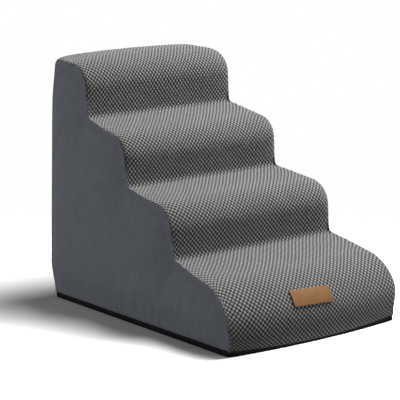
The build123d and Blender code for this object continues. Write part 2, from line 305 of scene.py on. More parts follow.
def rounded(points, radii, counts):
    """Points along a profile with rounded corners, counts of them in each straight run and arc."""
    line = []
    last = Vector(points[0])
    for index, (corner, radius) in enumerate(zip(points[1:-1], radii)):
        corner, after = Vector(corner), Vector(points[index + 2])
        way_in = (corner - Vector(points[index])).normalized()
        way_out = (after - corner).normalized()
        half_turn = acos(way_in.dot(way_out)) / 2
        start = corner - way_in * radius * tan(half_turn)
        centre = corner + (way_out - way_in).normalized() * radius / cos(half_turn)
        run, arc = counts[2 * index : 2 * index + 2]
        line += [last.lerp(start, step / run) for step in range(run)]
        arm = start - centre
        side = 1 if way_in.cross(way_out) > 0 else -1
        for step in range(arc):
            turn = side * 2 * half_turn * step / arc
            line.append(centre + Matrix.Rotation(turn, 2) @ arm)
        last = corner + way_out * radius * tan(half_turn)
    run = counts[-1]
    return line + [last.lerp(Vector(points[-1]), step / run) for step in range(run + 1)]


def half_turn_at(before, corner, after):
    """Half the angle by which the profile turns at a corner."""
    return acos(Vector(direction(before, corner)).dot(Vector(direction(corner, after)))) / 2


def section_points(swell, bow, front_z, back_z):
    """Corner points and radii of the strip's outer line at one section."""
    seam = [(-half_length, seam_lift)] + seam_corners() + [(half_length, seam_lift)]
    outs = [swell if radius > 0 else swell * crease_share for radius in corner_radii]
    outs[-1] = swell * back_share
    points = [(-half_length - bow, front_z)] + moved(seam, outs) + [(half_length + bow, back_z)]
    radii = []
    for index, (radius, out) in enumerate(zip(corner_radii, outs), start=1):
        before, corner, after = points[index - 1 : index + 2]
        room_before = dist(before, corner) * (end_room if index == 1 else inner_room)
        room_after = dist(corner, after) * (end_room if index == len(points) - 2 else inner_room)
        largest = min(room_before, room_after) / tan(half_turn_at(before, corner, after))
        size = radius + out if radius > 0 else -radius - out
        radii.append(min(max(size, least_radius), largest))
    return points, radii


def run_lengths(points, radii):
    """Lengths of the straight runs and arcs of a rounded profile, in turn."""
    lengths = []
    used = 0.0
    for index, radius in enumerate(radii, start=1):
        before, corner, after = points[index - 1 : index + 2]
        half_turn = half_turn_at(before, corner, after)
        lengths.append(max(dist(before, corner) - used - radius * tan(half_turn), 0))
        lengths.append(2 * half_turn * radius)
        used = radius * tan(half_turn)
    return lengths + [dist(points[-2], points[-1]) - used]


middle = section_points(crown, base_bow, front_hem, seam_lift)

# %% [markdown]
# ## How the stuffed cover swells
# The foam pushes the seams themselves outwards too, except where they are
# tied down: at the creases, at the hems and at the top of the back. The top
# step also rises into a low dome. One smooth field moves every fabric piece, so
# the seams stay closed. How far it moves a point follows from its place alone.

# %% Swelling of the whole cover
side_swell = 0.0085
front_swell = 0.0065
back_swell = 0.004
top_dome = 0.0055
tie_reach = 0.055
hem_reach = 0.07
rear_start = 0.19
rear_reach = 0.1
dome_start = 0.85 * seam_height
dome_reach = 0.12 * seam_height
seam_ties = [corner for corner, radius in zip(seam_corners(), corner_radii) if radius < 0]
seam_ties.append(seam_corners()[-1])


def smooth_step(values):
    """Values eased from 0 to 1, and held at these beyond them."""
    values = np.clip(values, 0, 1)
    return values * values * (3 - 2 * values)


def swollen(points):
    """Points of the cover, in an array, pushed out by the foam."""
    x, y, z = points.T
    free = smooth_step((z - seam_lift) / hem_reach)
    for tie_y, tie_z in seam_ties:
        free = free * (1 - np.exp(-((y - tie_y) ** 2 + (z - tie_z) ** 2) / tie_reach**2))
    rear = smooth_step((y - rear_start) / rear_reach)
    edge = np.abs(x) / seam_half_width
    out = points.copy()
    out[:, 0] += np.sign(x) * side_swell * free * edge**4
    out[:, 1] += free * (back_swell * rear - front_swell * (1 - rear))
    out[:, 2] += top_dome * smooth_step((z - dome_start) / dome_reach) * np.maximum(1 - edge**2, 0)
    return out


print("ties", len(seam_ties))

# %% [markdown]
# ## Woven strip
# The steps are covered in a jacquard: thick diagonal yarns cross in a diamond
# lattice, with a raised knot at every crossing and a small deep pit in every
# diamond. A flat picture of it would vanish on the outline, so the lattice is
# modelled. A grid has four columns to a pit and two lines to a row, and each
# vertex sinks by the height formula that the yarn material uses too, so shape
# and colour agree. A few long waves stand for the unevenness of the stuffing.

# %% Lattice of the weave
pits_across = 44
columns_in_pit = 4
row_pitch = 0.0052
back_row_pitch = 0.0062
pit_depth = 0.0016
stuffing_depth = 0.00035
stuffing_waves = (
    (0.09, 0.13, 0.4),
    (-0.14, 0.11, 1.9),
    (0.21, 0.05, 4.0),
    (0.05, -0.19, 2.6),
    (-0.11, -0.27, 5.1),
)
columns = columns_in_pit * pits_across
middle_runs = run_lengths(*middle)
run_counts = [max(round(length / row_pitch * 2), 1) for length in middle_runs]
run_counts[-1] = round(middle_runs[-1] / back_row_pitch * 2)
lines = sum(run_counts)

fine_steps = 4000
fine_shares = [step / fine_steps for step in range(-fine_steps, fine_steps + 1)]
across = [0.0]
for before, after in zip(fine_shares, fine_shares[1:]):
    drop = crown_at(after) - crown_at(before)
    across.append(across[-1] + hypot(seam_half_width * (after - before), drop))
column_shares = np.interp(np.linspace(0, across[-1], columns + 1), across, fine_shares)
pit_pitch = across[-1] / pits_across
print("pits", round(pit_pitch * 1000, 1), "mm apart,", lines, "lines")


# %% Place the strip's grid
def strip_points():
    """Place of every grid vertex, column by column."""
    places = []
    for share in column_shares:
        bow = base_bow * (1 - share**2)
        points, radii = section_points(crown_at(share), bow, front_hem_at(share), seam_lift)
        line = rounded(points, radii, run_counts)
        places.append([(share * side_x(z), y, z) for y, z in line])
    return np.array(places)


def weave_height(column, line):
    """Height of the lattice from 0 in a pit to 1 on a knot."""
    return (1 - np.cos(2 * pi * column / columns_in_pit) * np.cos(pi * line / 2)) / 2


strip_places = strip_points()
shape = strip_places.shape[:2]
strip_places = swollen(strip_places.reshape(-1, 3)).reshape(*shape, 3)
along = np.gradient(strip_places, axis=1)
over = np.gradient(strip_places, axis=0)
normals = np.cross(over, along)
normals /= np.linalg.norm(normals, axis=2, keepdims=True)
column_index, line_index = np.meshgrid(np.arange(shape[0]), np.arange(shape[1]), indexing="ij")
sink = pit_depth * (1 - weave_height(column_index, line_index))
uneven = sum(np.sin(column_index * across_rate + line_index * along_rate + shift)
    for across_rate, along_rate, shift in stuffing_waves) / len(stuffing_waves)
sink = sink + stuffing_depth * (1 + uneven) * np.sin(pi * column_index / columns) ** 0.5
margin = np.minimum.reduce([column_index, shape[0] - 1 - column_index, line_index, shape[1] - 1 - line_index])
sink = sink * (margin > 0)
strip_places = strip_places - normals * sink[:, :, None]
print("strip box", strip_places.min(axis=(0, 1)).round(3), strip_places.max(axis=(0, 1)).round(3))

# %% Build the strip
hem_fold = 0.006


def extruded(bm, edges):
    """Extrude edges without moving them, and give the new vertices."""
    made = bmesh.ops.extrude_edge_only(bm, edges=edges)["geom"]
    return [item for item in made if isinstance(item, bmesh.types.BMVert)]


def folded_rim(bm):
    """Extrude the open rim, and give each new vertex with the one it came from."""
    pairs = []
    for vert in extruded(bm, [edge for edge in bm.edges if edge.is_boundary]):
        sewn = next(edge.other_vert(vert) for edge in vert.link_edges if edge.calc_length() < 1e-9)
        pairs.append((vert, sewn))
    return pairs


strip_bm = bmesh.new()
bmesh.ops.create_grid(strip_bm, x_segments=columns, y_segments=lines, size=1)
strip_uv = strip_bm.loops.layers.uv.new("weave")
side_verts = set()
for vert in strip_bm.verts:
    column = round((vert.co.x + 1) / 2 * columns)
    line = round((vert.co.y + 1) / 2 * lines)
    vert.co = strip_places[column, line]
    if column in (0, columns):
        side_verts.add(vert)
    for loop in vert.link_loops:
        loop[strip_uv].uv = (column * pit_pitch / columns_in_pit, line * row_pitch / 2)
strip_bm.normal_update()
for vert, sewn in folded_rim(strip_bm):
    inward = -sewn.normal
    if sewn in side_verts:
        inward.x = -1 if sewn.co.x > 0 else 1
    vert.co = sewn.co + inward.normalized() * hem_fold
print("strip faces", len(strip_bm.faces))

# %% [markdown]
# The yarn material repeats the lattice from the strip's own map: the same
# height formula darkens the pits, partly as the dark yarn beneath them and
# partly as painted shade in the hollows, and fine slanting lines twist the
# threads of each yarn. Polyester yarn has a soft sheen and no gloss, and single
# threads are lighter or darker than their neighbours, which gives the heather
# look. The threads are drawn coarser than real ones, so that they show at all.

# %% Yarn colours
threads_in_pit = 6.0
thread_mm = 2.38
cloud_mm = 35.7
knot_level = -0.8
pit_level = 0.35
jacquard, tree, shader = material("polyester_jacquard")
weave = node(tree, "ShaderNodeUVMap", uv_map="weave")
parts = node(tree, "ShaderNodeSeparateXYZ", {0: weave.outputs["UV"]})
across_phase = node(tree, "ShaderNodeMath", {0: parts.outputs["X"], 1: 2 * pi / pit_pitch},
    operation="MULTIPLY")
along_phase = node(tree, "ShaderNodeMath", {0: parts.outputs["Y"], 1: pi / row_pitch},
    operation="MULTIPLY")
across_wave = node(tree, "ShaderNodeMath", {0: across_phase.outputs[0]}, operation="COSINE")
along_wave = node(tree, "ShaderNodeMath", {0: along_phase.outputs[0]}, operation="COSINE")
hollow = node(tree, "ShaderNodeMath", {0: across_wave.outputs[0], 1: along_wave.outputs[0]},
    operation="MULTIPLY")
pit_shade = node(tree, "ShaderNodeMapRange", {"Value": hollow.outputs[0], "From Min": knot_level,
    "From Max": pit_level}, interpolation_type="SMOOTHSTEP")
threads = node(tree, "ShaderNodeTexNoise",
    {"Vector": weave.outputs["UV"], "Scale": per_metre(thread_mm), "Detail": 3.0})
cloudy = node(tree, "ShaderNodeTexNoise",
    {"Vector": weave.outputs["UV"], "Scale": per_metre(cloud_mm), "Detail": 2.0})
heather = node(tree, "ShaderNodeMix", {0: 0.25, 2: threads.outputs["Fac"], 3: cloudy.outputs["Fac"]})
yarn = node(tree, "ShaderNodeMix",
    {0: heather.outputs[0], 6: linear("#4e4e4e"), 7: linear("#939391")}, data_type="RGBA")
# The pits are near black: partly the dark yarn beneath them, partly painted shade in the hollows.
colour = node(tree, "ShaderNodeMix",
    {0: pit_shade.outputs["Result"], 6: yarn.outputs[2], 7: linear("#0f0f0f")}, data_type="RGBA")
tree.links.new(colour.outputs[2], shader.inputs["Base Color"])
print("yarns differ every", thread_mm, "mm and in clouds of", cloud_mm, "mm")

# %% Yarn relief and sheen
twist_share = 0.3
relief_share = 0.3
slant = node(tree, "ShaderNodeMath", {0: across_phase.outputs[0], 1: along_phase.outputs[0]},
    operation="ADD")
turns = node(tree, "ShaderNodeMath", {0: slant.outputs[0], 1: threads_in_pit}, operation="MULTIPLY")
twist = node(tree, "ShaderNodeMath", {0: turns.outputs[0]}, operation="SINE")
fuzz = node(tree, "ShaderNodeMath", {0: twist.outputs[0], 1: twist_share, 2: threads.outputs["Fac"]},
    operation="MULTIPLY_ADD")
relief = node(tree, "ShaderNodeMath", {0: fuzz.outputs[0], 1: relief_share}, operation="MULTIPLY")
height = node(tree, "ShaderNodeMath", {0: relief.outputs[0], 1: pit_shade.outputs["Result"]},
    operation="SUBTRACT")
bump = node(tree, "ShaderNodeBump", {"Height": height.outputs[0], "Strength": 0.6, "Distance": 0.0012})
tree.links.new(bump.outputs["Normal"], shader.inputs["Normal"])
shader.inputs["Roughness"].default_value = 0.85
shader.inputs["Specular IOR Level"].default_value = 0.2
shader.inputs["Sheen Weight"].default_value = 0.35
shader.inputs["Sheen Roughness"].default_value = 0.45
print("threads", round(pit_pitch / threads_in_pit * 1000, 1), "mm apart")


# %% Make the strip a piece
def add_piece(name, bm, *materials, smooth=True):
    """Turn a bmesh into a piece of the scene that rides on the stairs."""
    mesh = bpy.data.meshes.new(name)
    bm.to_mesh(mesh)
    bm.free()
    mesh.polygons.foreach_set("use_smooth", [smooth] * len(mesh.polygons))
    for each in materials:
        mesh.materials.append(each)
    piece = bpy.data.objects.new(name, mesh)
    bpy.context.scene.collection.objects.link(piece)
    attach(piece, "stairs")
    return piece


strip = add_piece("woven_strip", strip_bm, jacquard)
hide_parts("step_cover")
print(strip.name, "has", len(strip.data.polygons), "faces")

# %% [markdown]
# ## Side panels
# Each panel is one flat cut of brushed velvet, sewn to the strip all round, and
# the foam pushes it out like a shallow pillow. Its outline is filled and cut
# into a grid of small squares, and a cloth simulation with a little air pressure
# then swells it while the sewn edge stays put. The cap keeps it in the space
# of the solid panel, it never sinks below the squeezed foam, and the small
# puckers along the seam are added afterwards. Its rim is tucked in under itself.

# %% Cut the panels
panel_cell = 0.0075
hem_cuts = (0.0015, 0.0035, 0.0055)
cut_snap = 0.0004
merge_reach = 0.0008
seam_counts = [max(round(count / 2), 1) for count in run_counts]
seam_line = rounded(*section_points(0, 0, seam_lift, seam_lift), seam_counts)


def cut_across(bm, place, normal, snap):
    """Cut every face along a plane."""
    bmesh.ops.bisect_plane(bm, geom=bm.verts[:] + bm.edges[:] + bm.faces[:], plane_co=place,
        plane_no=normal, dist=snap)


def panel_cut(side):
    """Flat panel in the seam plane, cut into small squares."""
    bm = bmesh.new()
    bm.faces.new([bm.verts.new((0, y, z)) for y, z in seam_line])
    for cut in range(1, int(2 * half_length / panel_cell) + 1):
        cut_across(bm, (0, -half_length + cut * panel_cell, 0), (0, 1, 0), cut_snap)
    for cut in range(1, int(seam_height / panel_cell) + 1):
        cut_across(bm, (0, 0, seam_lift + cut * panel_cell), (0, 0, 1), cut_snap)
    for lift in hem_cuts:
        cut_across(bm, (0, 0, seam_lift + lift), (0, 0, 1), cut_snap / 2)
    bmesh.ops.remove_doubles(bm, verts=bm.verts, dist=merge_reach)
    for vert in bm.verts:
        vert.co.x = side * side_x(vert.co.z)
    bm.normal_update()
    turned = [face for face in bm.faces if face.normal.x * side < 0]
    bmesh.ops.reverse_faces(bm, faces=turned)
    return bm


panels = {side: add_piece(name, panel_cut(side)) for name, side in (("left_velvet", -1), ("right_velvet", 1))}
print("panels of", [len(piece.data.polygons) for piece in panels.values()], "squares")


# %% Swell them as cloth
panel_slacks = {-1: 0.012, 1: 0.009}
panel_pressure = 4.0
cloth_frames = 20


def pinned_cloth(piece, slack, pressure):
    """Give a piece a cloth modifier that holds its open edge."""
    bm = bmesh.new()
    bm.from_mesh(piece.data)
    edge = [vert.index for vert in bm.verts if vert.is_boundary]
    bm.free()
    piece.vertex_groups.new(name="sewn").add(edge, 1.0, "REPLACE")
    cloth = piece.modifiers.new("cloth", "CLOTH")
    cloth.settings.quality = 6
    cloth.settings.mass = 0.2
    cloth.settings.use_pressure = True
    cloth.settings.uniform_pressure_force = pressure
    cloth.settings.vertex_group_mass = "sewn"
    cloth.settings.shrink_min = -slack
    cloth.settings.effector_weights.gravity = 0
    cloth.collision_settings.use_collision = False


for side, piece in panels.items():
    pinned_cloth(piece, panel_slacks[side], panel_pressure)
for step in range(1, cloth_frames + 1):
    bpy.context.scene.frame_set(step)
print("cloth stepped to frame", bpy.context.scene.frame_current)

# %% Hold them between the foam and the cap
panel_bulge = 0.0115
foam_squeeze = 0.97
foam_clearance = 0.0014
foam_ledge = 0.0195
hem_rise_height = 0.008
foam_shape = bmesh.new()
for step in range(1, 5):
    foam_shape.from_mesh(bpy.data.objects[f"foam_slab_{step}"].data)
foam_tree = BVHTree.FromBMesh(foam_shape)
foam_shape.free()


def foam_reach(side, y, z):
    """How far the foam under a point of the panel stands out from the seam plane."""
    outside = Vector((side * 2 * seam_half_width, y, z))
    hit = foam_tree.ray_cast(outside, Vector((-side, 0, 0)))[0]
    return side * hit.x * foam_squeeze - side_x(z) if hit else 0


def swelled(piece, side):
    """Places of the piece's vertices after the cloth has moved them, between the foam and the cap."""
    evaluated = piece.evaluated_get(bpy.context.evaluated_depsgraph_get())
    count = len(piece.data.vertices)
    places = np.empty(count * 3)
    evaluated.data.vertices.foreach_get("co", places)
    places = places.reshape(count, 3)
    plane = side * side_x(places[:, 2])
    out = np.maximum(side * (places[:, 0] - plane), 0)
    held = panel_bulge * np.tanh(out / panel_bulge)
    foam_out = np.array([foam_reach(side, y, max(z, foam_ledge)) for _, y, z in places])
    hem_rise = np.sqrt(np.clip((places[:, 2] - seam_lift) / hem_rise_height, 0, 1))
    least = (foam_out + foam_clearance) * hem_rise * (foam_out > 0)
    places[:, 0] = plane + side * np.maximum(held, least)
    return places, out.max()


for side, piece in panels.items():
    places, furthest = swelled(piece, side)
    piece.modifiers.clear()
    piece.vertex_groups.clear()
    piece.data.vertices.foreach_set("co", places.ravel())
    print(piece.name, "swelled", round(furthest * 1000, 1), "mm before the cap")
bpy.context.scene.frame_set(1)

# %% Measure along the seam
seam_step = 0.001
seam_points = []
travel = 0.0
for start, end in zip(seam_line, seam_line[1:]):
    steps = max(int(dist(start, end) / seam_step), 1)
    seam_points += [(start.lerp(end, step / steps), travel + dist(start, end) * step / steps)
        for step in range(steps)]
    travel += dist(start, end)
seam_tree = KDTree(len(seam_points))
for index, (point, _) in enumerate(seam_points):
    seam_tree.insert((point[0], point[1], 0), index)
seam_tree.balance()
print("seam is", round(travel, 3), "m long")

# %% Puckers and the rim's fold
# Puckers crowd along the seam and creep along the hem. A slow second wave makes both uneven.
pucker_depth = 0.0005
pucker_reach = 0.014
pucker_pitch = 0.017
creep_depth = 0.0006
creep_reach = 0.035
creep_pitch = 0.023
pucker_drift = 2.1
pucker_drift_rate = 23
pucker_fade = 0.4
pucker_fade_rate = 61
creep_drift = 1.7
creep_drift_rate = 31
smoothing_steps = 10
seam_flat_width = 0.016


def pucker(arc):
    """Height of the puckers from -1 to 1 at a distance along the seam."""
    phase = arc / pucker_pitch * 2 * pi + pucker_drift * sin(arc * pucker_drift_rate)
    return sin(phase) * (1 - pucker_fade + pucker_fade * sin(arc * pucker_fade_rate))


def hem_creep(y, z):
    """Height of the waves along the hem at a place of the panel."""
    share = max(1 - (z - seam_lift) / creep_reach, 0)
    phase = y * 2 * pi / creep_pitch + creep_drift * sin(y * creep_drift_rate)
    return creep_depth * share * sin(phase)


def finish_panel(piece, side):
    """Halve the squares, add the puckers and push the panel out with the whole cover."""
    bm = bmesh.new()
    bm.from_mesh(piece.data)
    bmesh.ops.subdivide_edges(bm, edges=bm.edges, cuts=1, use_grid_fill=True, smooth=0.4)
    inner = [vert for vert in bm.verts if not vert.is_boundary]
    for _ in range(smoothing_steps):
        bmesh.ops.smooth_vert(bm, verts=inner, factor=0.5, use_axis_x=True)
    for vert in inner:
        _, index, gap = seam_tree.find((vert.co.y, vert.co.z, 0))
        arc = seam_points[index][1]
        plane = side_x(vert.co.z)
        flat = exp(-((gap / seam_flat_width) ** 2))
        vert.co.x = side * (plane + (side * vert.co.x - plane) * (1 - flat))
        waves = pucker_depth * pucker(arc) * exp(-gap / pucker_reach) + hem_creep(vert.co.y, vert.co.z)
        vert.co.x += side * waves
    places = swollen(np.array([vert.co for vert in bm.verts]))
    for vert, place in zip(bm.verts, places):
        vert.co = place
    tucks = {}
    for vert in [vert for vert in bm.verts if vert.is_boundary]:
        tuck = sum((edge.other_vert(vert).co - vert.co for edge in vert.link_edges), Vector())
        tuck.x = 0
        tucks[vert] = tuck.normalized() + Vector((-side, 0, 0))
    for vert, sewn in folded_rim(bm):
        vert.co = sewn.co + tucks[sewn] * hem_fold / 2
    bm.to_mesh(piece.data)
    piece.data.polygons.foreach_set("use_smooth", [True] * len(piece.data.polygons))
    print(piece.name, "faces", len(bm.faces))
    bm.free()


for side, piece in panels.items():
    finish_panel(piece, side)
    node_name = "left_side_panel" if side < 0 else "right_side_panel"
    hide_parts(node_name)

# %% [markdown]
# Brushed velvet is a short pile. It has no gloss, it brightens at grazing
# angles, which the sheen gives, and where the pile lies another way it is a
# touch lighter or darker, in soft clouds some centimetres across. The tufts are
# drawn coarser than real ones.

# %% Velvet
lay_mm = 25
tuft_mm = 3.85
velvet, tree, shader = material("brushed_velvet")
place = node(tree, "ShaderNodeTexCoord").outputs["Object"]
clouds = node(tree, "ShaderNodeTexNoise", {"Vector": place, "Scale": per_metre(lay_mm), "Detail": 4.0,
    "Roughness": 0.7})
pile = node(tree, "ShaderNodeTexNoise", {"Vector": place, "Scale": per_metre(tuft_mm), "Detail": 3.0})
shade = node(tree, "ShaderNodeMix", {0: 0.5, 2: clouds.outputs["Fac"], 3: pile.outputs["Fac"]})
ramp = node(tree, "ShaderNodeValToRGB", {"Fac": shade.outputs[0]})
ramp.color_ramp.elements[0].position = 0.3
ramp.color_ramp.elements[0].color = linear("#6a6d74")
ramp.color_ramp.elements[1].position = 0.7
ramp.color_ramp.elements[1].color = linear("#7b7f88")
tree.links.new(ramp.outputs["Color"], shader.inputs["Base Color"])
bump = node(tree, "ShaderNodeBump", {"Height": pile.outputs["Fac"], "Strength": 0.25, "Distance": 0.0004})
tree.links.new(bump.outputs["Normal"], shader.inputs["Normal"])
shader.inputs["Roughness"].default_value = 0.9
shader.inputs["Specular IOR Level"].default_value = 0.15
shader.inputs["Sheen Weight"].default_value = 0.1
shader.inputs["Sheen Roughness"].default_value = 0.4
for piece in panels.values():
    piece.data.materials.append(velvet)
    print(piece.name, "is", velvet.name)

# %% [markdown]
# ## Base fabric and grip dots
# The bottom is a black cloth that turns up to meet the strip and the left
# panel. A flat grid is bent into the outline with bowed ends, and its rim is
# extruded up where there is no zip. The dots under it are rows of silicone
# drops, so they are low cylinders with a rounded lower edge.

# %% Bend a grid into the base
base_half_width = 0.2012
base_bottom = 0.0006
corner_radius = 0.010


def in_round_corner(x, y, half_x, half_y, radius):
    """A point of a rectangle, drawn inwards where it lies in a rounded corner."""
    over_x = abs(x) - (half_x - radius)
    over_y = abs(y) - (half_y - radius)
    if over_x > 0 and over_y > 0:
        squeeze = max(over_x, over_y) / hypot(over_x, over_y)
        x = (abs(x) - over_x + over_x * squeeze) * (1 if x > 0 else -1)
        y = (abs(y) - over_y + over_y * squeeze) * (1 if y > 0 else -1)
    return x, y


base_bm = bmesh.new()
bmesh.ops.create_grid(base_bm, x_segments=80, y_segments=126, size=1)
for vert in base_bm.verts:
    share_x, share_y = vert.co.x, vert.co.y
    x, y = in_round_corner(share_x * base_half_width, share_y * half_length,
        base_half_width, half_length, corner_radius)
    vert.co = (x, y + share_y * base_bow * (1 - (x / base_half_width) ** 2), base_bottom)
bmesh.ops.reverse_faces(base_bm, faces=base_bm.faces)
print("base grid of", len(base_bm.verts), "points")

# %% Turn the rim up
hem_overlap = 0.001
fold_radius = 0.0018
sharp_turn = 1.2
side_slack = 0.004
back_slack = 0.006


def has_wall(edge):
    """Whether the base turns up at this rim edge: along the front and the left side."""
    middle_point = (edge.verts[0].co + edge.verts[1].co) / 2
    front = middle_point.y < -half_length + corner_radius / 2
    left = middle_point.x < -base_half_width + side_slack and middle_point.y < half_length - back_slack
    return edge.is_boundary and (front or left)


for vert in extruded(base_bm, [edge for edge in base_bm.edges if has_wall(edge)]):
    hem = seam_lift
    if vert.co.y < -half_length + corner_radius:
        hem = front_hem_at(min(abs(vert.co.x) / seam_half_width, 1))
    vert.co.z = hem + hem_overlap
sharp = [edge for edge in base_bm.edges if abs(edge.calc_face_angle(0)) > sharp_turn]
bmesh.ops.bevel(base_bm, geom=sharp, offset=fold_radius, offset_type="OFFSET", segments=3,
    profile=0.5, affect="EDGES", material=-1)
print("base faces", len(base_bm.faces))

# %% [markdown]
# Black polyester canvas is a plain weave. The threads are drawn about 1.5 mm
# apart, which is coarser than the real ones, so that they show at all. Blender's
# wave texture draws a straight band every pi / 10 units, hence that factor.

# %% Black canvas
canvas_thread_mm = 1.5
canvas_scale = pi / 10 * per_metre(canvas_thread_mm)
canvas_thickness = 0.0012
canvas, tree, shader = material("black_canvas")
place = node(tree, "ShaderNodeTexCoord").outputs["Object"]
warp = node(tree, "ShaderNodeTexWave", {"Vector": place, "Scale": canvas_scale, "Distortion": 0.4},
    wave_type="BANDS", bands_direction="X")
weft = node(tree, "ShaderNodeTexWave", {"Vector": place, "Scale": canvas_scale, "Distortion": 0.4},
    wave_type="BANDS", bands_direction="Y")
grain = node(tree, "ShaderNodeMath", {0: warp.outputs["Fac"], 1: weft.outputs["Fac"]}, operation="MAXIMUM")
ramp = node(tree, "ShaderNodeValToRGB", {"Fac": grain.outputs[0]})
ramp.color_ramp.elements[0].color = linear("#070708")
ramp.color_ramp.elements[1].color = linear("#111113")
tree.links.new(ramp.outputs["Color"], shader.inputs["Base Color"])
bump = node(tree, "ShaderNodeBump", {"Height": grain.outputs[0], "Strength": 0.5, "Distance": 0.0003})
tree.links.new(bump.outputs["Normal"], shader.inputs["Normal"])
shader.inputs["Roughness"].default_value = 0.8
shader.inputs["Specular IOR Level"].default_value = 0.08

base = add_piece("base_canvas", base_bm, canvas)
wall = base.modifiers.new("cloth_thickness", "SOLIDIFY")
wall.thickness = canvas_thickness
wall.offset = -1
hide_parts("base_panel")
print(base.name, "is", canvas_thickness * 1000, "mm thick")

# %% Grip dots
dot_pitch = 0.030
dot_radius = 0.004
dot_height = 0.0006
dot_margin = 0.018
dot_rounding = 0.00045
dot_counts = [int(2 * (half - dot_margin) / dot_pitch + 1e-9) for half in (base_half_width, half_length)]
dots_bm = bmesh.new()
for column in range(dot_counts[0]):
    for line in range(dot_counts[1]):
        x = (column - (dot_counts[0] - 1) / 2) * dot_pitch
        y = (line - (dot_counts[1] - 1) / 2) * dot_pitch
        bmesh.ops.create_cone(dots_bm, cap_ends=True, segments=20, radius1=dot_radius, radius2=dot_radius,
            depth=dot_height, matrix=Matrix.Translation((x, y, dot_height / 2)))
under = [e for e in dots_bm.edges if all(vert.co.z < dot_height / 3 for vert in e.verts)]
bmesh.ops.bevel(dots_bm, geom=under, offset=dot_rounding, offset_type="OFFSET", segments=3,
    profile=0.5, affect="EDGES", material=-1)
print("dots", dot_counts[0] * dot_counts[1])

# %% Silicone
# Silicone rubber is satin, and fine dust clings to it and greys it in spots.
dust_mm = 3.33
silicone, tree, shader = material("silicone_rubber")
place = node(tree, "ShaderNodeTexCoord").outputs["Object"]
dust = node(tree, "ShaderNodeTexNoise", {"Vector": place, "Scale": per_metre(dust_mm), "Detail": 2.0})
ramp = node(tree, "ShaderNodeValToRGB", {"Fac": dust.outputs["Fac"]})
ramp.color_ramp.elements[0].color = linear("#1b1c1e")
ramp.color_ramp.elements[1].color = linear("#2f3033")
tree.links.new(ramp.outputs["Color"], shader.inputs["Base Color"])
shader.inputs["Roughness"].default_value = 0.45
shader.inputs["IOR"].default_value = 1.41
dots = add_piece("silicone_dots", dots_bm, silicone)
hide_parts("grip_dots")
print(dots.name, "has", len(dots.data.polygons), "faces")

# %% [markdown]
# ## Zip
# A coil zip has two woven tapes, each with a nylon coil sewn along its edge. The
# upper tape hangs behind the hem of the cover and the lower one stands on the
# base. Both follow the outline of the base along the right side, round the
# back corner and across the back. The tapes are bands, and the coil is a row
# of small loops, one and a half millimetres apart, as on a medium zip.

# %% Line that the zip follows
side_steps = 200
corner_steps = 12
back_steps = 120


def zip_line(inset, margin):
    """Points along the right side and the back, from the front end, a few millimetres apart."""
    line = []
    x, y = base_half_width - inset, half_length - inset
    turn_radius = corner_radius - inset
    side_start, side_end = -half_length + margin, y - turn_radius
    for step in range(side_steps + 1):
        line.append((x, side_start + (side_end - side_start) * step / side_steps))
    for step in range(1, corner_steps):
        turn = pi / 2 * step / corner_steps
        line.append((x - turn_radius + turn_radius * cos(turn), y - turn_radius + turn_radius * sin(turn)))
    back_start, back_end = x - turn_radius, -base_half_width + margin
    for step in range(back_steps + 1):
        line.append((back_start + (back_end - back_start) * step / back_steps, y))
    bowed = []
    for line_x, line_y in line:
        bow = base_bow * (1 - (line_x / base_half_width) ** 2) if line_y > side_end - 1e-6 else 0
        bowed.append(Vector((line_x, line_y + bow, 0)))
    return bowed


print("zip line has", len(zip_line(0, 0)), "points")

# %% Tape fabric
# Woven polyester tape is dull, with fine slanting ribs. They are drawn coarser than real ones:
# the bands of a diagonal wave lie pi / 5 units apart along each axis.
rib_mm = 3.93
tape, tree, shader = material("polyester_zip_tape")
place = node(tree, "ShaderNodeTexCoord").outputs["Object"]
ribs = node(tree, "ShaderNodeTexWave",
    {"Vector": place, "Scale": pi / 5 * per_metre(rib_mm), "Distortion": 1.0},
    wave_type="BANDS", bands_direction="DIAGONAL")
ramp = node(tree, "ShaderNodeValToRGB", {"Fac": ribs.outputs["Fac"]})
ramp.color_ramp.elements[0].color = linear("#0e0e10")
ramp.color_ramp.elements[1].color = linear("#232427")
tree.links.new(ramp.outputs["Color"], shader.inputs["Base Color"])
bump = node(tree, "ShaderNodeBump", {"Height": ribs.outputs["Fac"], "Strength": 0.5, "Distance": 0.0002})
tree.links.new(bump.outputs["Normal"], shader.inputs["Normal"])
shader.inputs["Roughness"].default_value = 0.7
print("ribs", rib_mm, "mm apart")

# %% Bands for the tapes
tape_inset = 0.0023
tape_thickness = 0.0005
tape_end_margin = 0.004
upper_heights = (0.007, 0.010, 0.0135, 0.017)
lower_heights = (0.0021, 0.004, 0.006)


def zip_band(line, heights):
    """A band along the line, through a list of heights."""
    bm = bmesh.new()
    verts = [bm.verts.new((point.x, point.y, heights[0])) for point in line]
    top = [bm.edges.new(pair) for pair in zip(verts, verts[1:])]
    for height in heights[1:]:
        lifted = extruded(bm, top)
        for vert in lifted:
            vert.co.z = height
        top = [edge for edge in bm.edges if all(vert.co.z == lifted[0].co.z for vert in edge.verts)]
    return bm


tape_line = zip_line(tape_inset + tape_thickness / 2, tape_end_margin)
upper_bm = zip_band(tape_line, upper_heights)
lower_bm = zip_band(tape_line, lower_heights)
print("bands of", len(upper_bm.faces), "and", len(lower_bm.faces), "faces")

